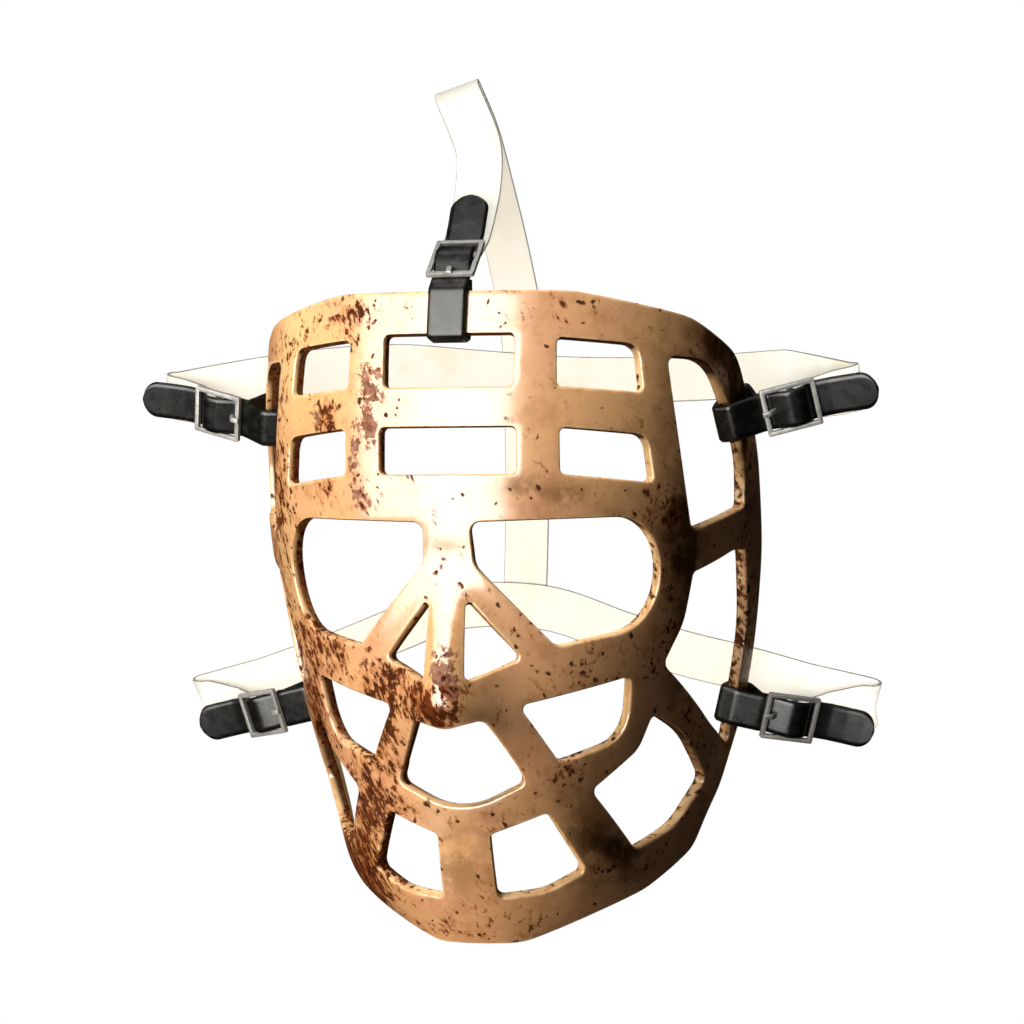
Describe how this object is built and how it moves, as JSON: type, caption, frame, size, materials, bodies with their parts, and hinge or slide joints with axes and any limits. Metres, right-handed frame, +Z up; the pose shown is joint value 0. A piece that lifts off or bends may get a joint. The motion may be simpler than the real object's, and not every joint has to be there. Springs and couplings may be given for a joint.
{
  "type": "hockey goalkeeper mask",
  "caption": "Moulded full-face mask of wide bars around sight and air openings, with buckled leather tabs and an elastic webbing harness over the head.",
  "frame": {"origin": "middle of the head space, on the shell's mid-plane and level with the brow", "axes": "+Z up, -Y the way the face looks, +X to the right of a person who looks at the face"},
  "size_m": [0.3102, 0.158, 0.3457],
  "materials": {
    "coated_shell": "glossy tan coat on a glass-fibre moulding, pitted with dark red-brown spots, paler at the edges",
    "black_leather": "smooth black leather with a soft sheen",
    "grey_steel": "plain grey steel, slightly dull",
    "cream_webbing": "cream elastic webbing with fine lengthwise lines and faint stains"
  },
  "bodies": {
    "root": {"shell": "coated_shell", "tab_upper_left": "black_leather", "buckle_upper_left": "grey_steel", "tongue_upper_left": "grey_steel", "tab_upper_right": "black_leather", "buckle_upper_right": "grey_steel", "tongue_upper_right": "grey_steel", "tab_lower_left": "black_leather", "buckle_lower_left": "grey_steel", "tongue_lower_left": "grey_steel", "tab_lower_right": "black_leather", "buckle_lower_right": "grey_steel", "tongue_lower_right": "grey_steel", "tab_top": "black_leather", "buckle_top": "grey_steel", "tongue_top": "grey_steel", "strap_upper": "cream_webbing", "strap_lower": "cream_webbing", "strap_top": "cream_webbing"}
  },
  "joints": []
}
